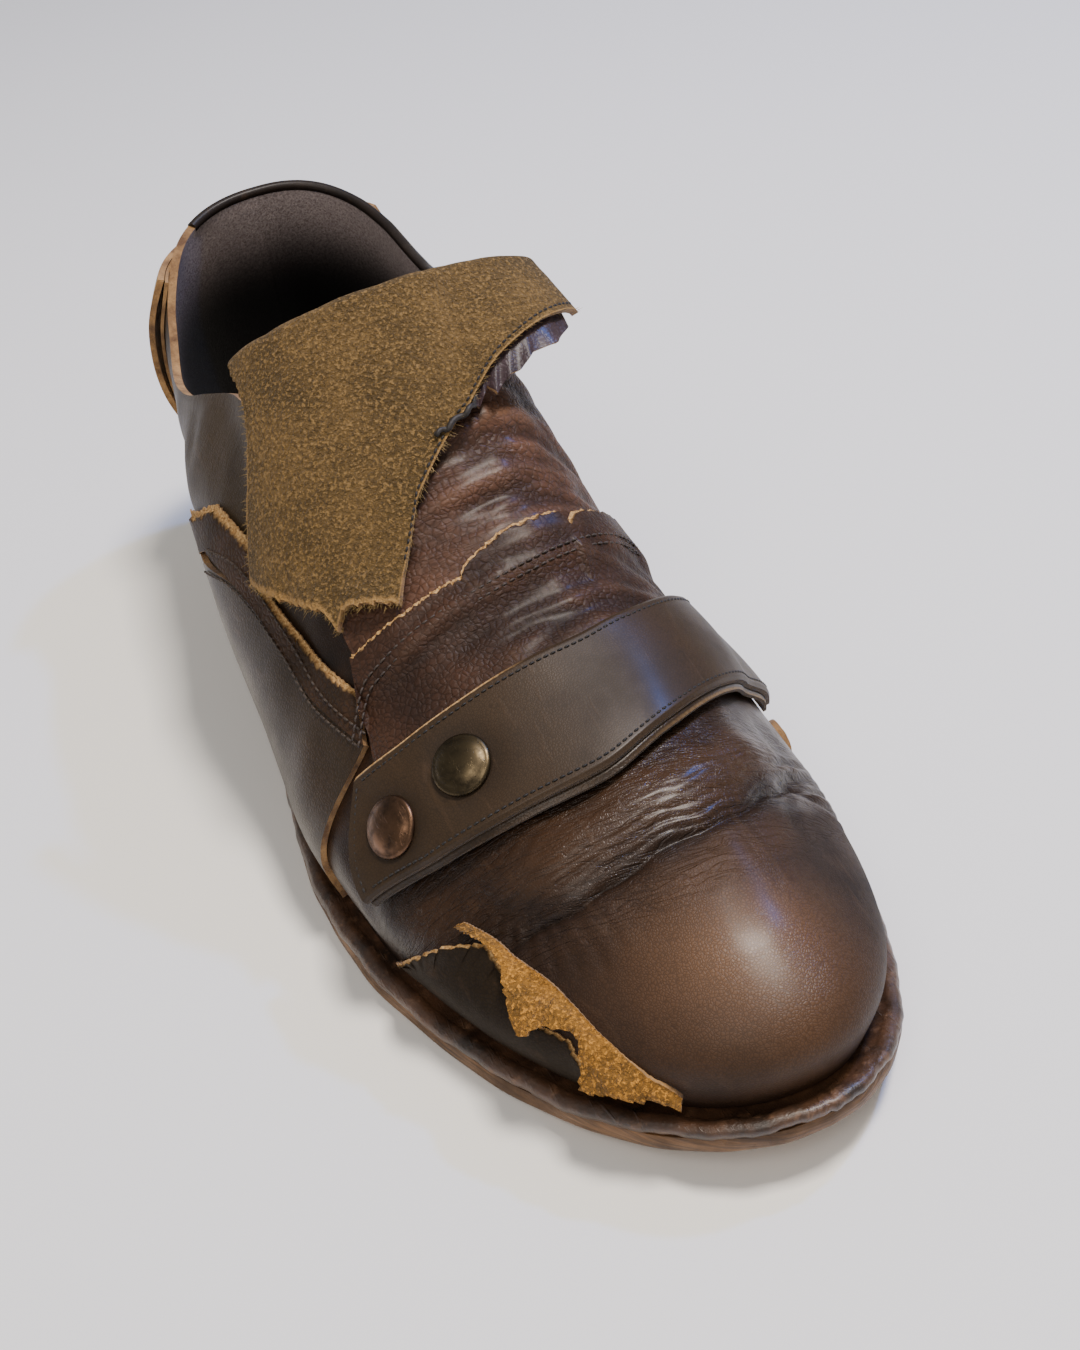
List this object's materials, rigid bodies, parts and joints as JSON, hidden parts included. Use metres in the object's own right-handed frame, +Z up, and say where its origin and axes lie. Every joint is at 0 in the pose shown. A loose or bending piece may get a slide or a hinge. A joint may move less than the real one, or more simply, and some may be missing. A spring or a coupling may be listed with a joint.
{
  "type": "slip-on shoe",
  "caption": "Low leather slip-on shoe for the right foot, with a fold-over suede tongue, a snapped belt strap, a welted leather sole and a low stacked heel.",
  "frame": {"origin": "on the floor, under the middle of the shoe's box", "axes": "+Z up, +Y towards the heel, -Y towards the toe, +X towards the inner (medial) side of the right foot"},
  "size_m": [0.1174, 0.3054, 0.1208],
  "materials": {
    "upper_leather": "dark brown waxed calf, worn glossy on the vamp, olive towards the quarters",
    "tongue_leather": "brown pebbled leather with a raw cut edge",
    "suede": "olive-brown flesh side, matte and hairy",
    "raw_leather": "torn ochre flesh side, matte",
    "strap_leather": "smooth glossy dark olive-brown, stitched along its edges",
    "old_brass": "darkened brass, rubbed on top",
    "sole_leather": "sole leather with a stained edge, dry underneath",
    "welt_leather": "reddish-brown rounded welt, waxed and worn",
    "insole_leather": "dark lining leather, matte",
    "heel_rubber": "black rubber, dusty"
  },
  "bodies": {
    "root": {"upper": "upper_leather", "tongue": "tongue_leather", "throat_overlay": "tongue_leather", "tongue_flap": "suede", "side_band_lateral": "upper_leather", "foxing_lateral": "upper_leather", "foxing_medial": "upper_leather", "toe_patch": "upper_leather", "torn_strip": "raw_leather", "strap": "strap_leather", "strap_lining": "strap_leather", "heel_band": "strap_leather", "rivet_tab_rear": "strap_leather", "rivet_tab_front": "strap_leather", "snap_low": "old_brass", "snap_high": "old_brass", "rivet_rear": "old_brass", "rivet_front": "old_brass", "outsole": "sole_leather", "heel_lift_1": "sole_leather", "heel_lift_2": "sole_leather", "heel_lift_3": "sole_leather", "heel_top_piece": "heel_rubber", "welt": "welt_leather", "insole": "insole_leather"}
  },
  "joints": []
}
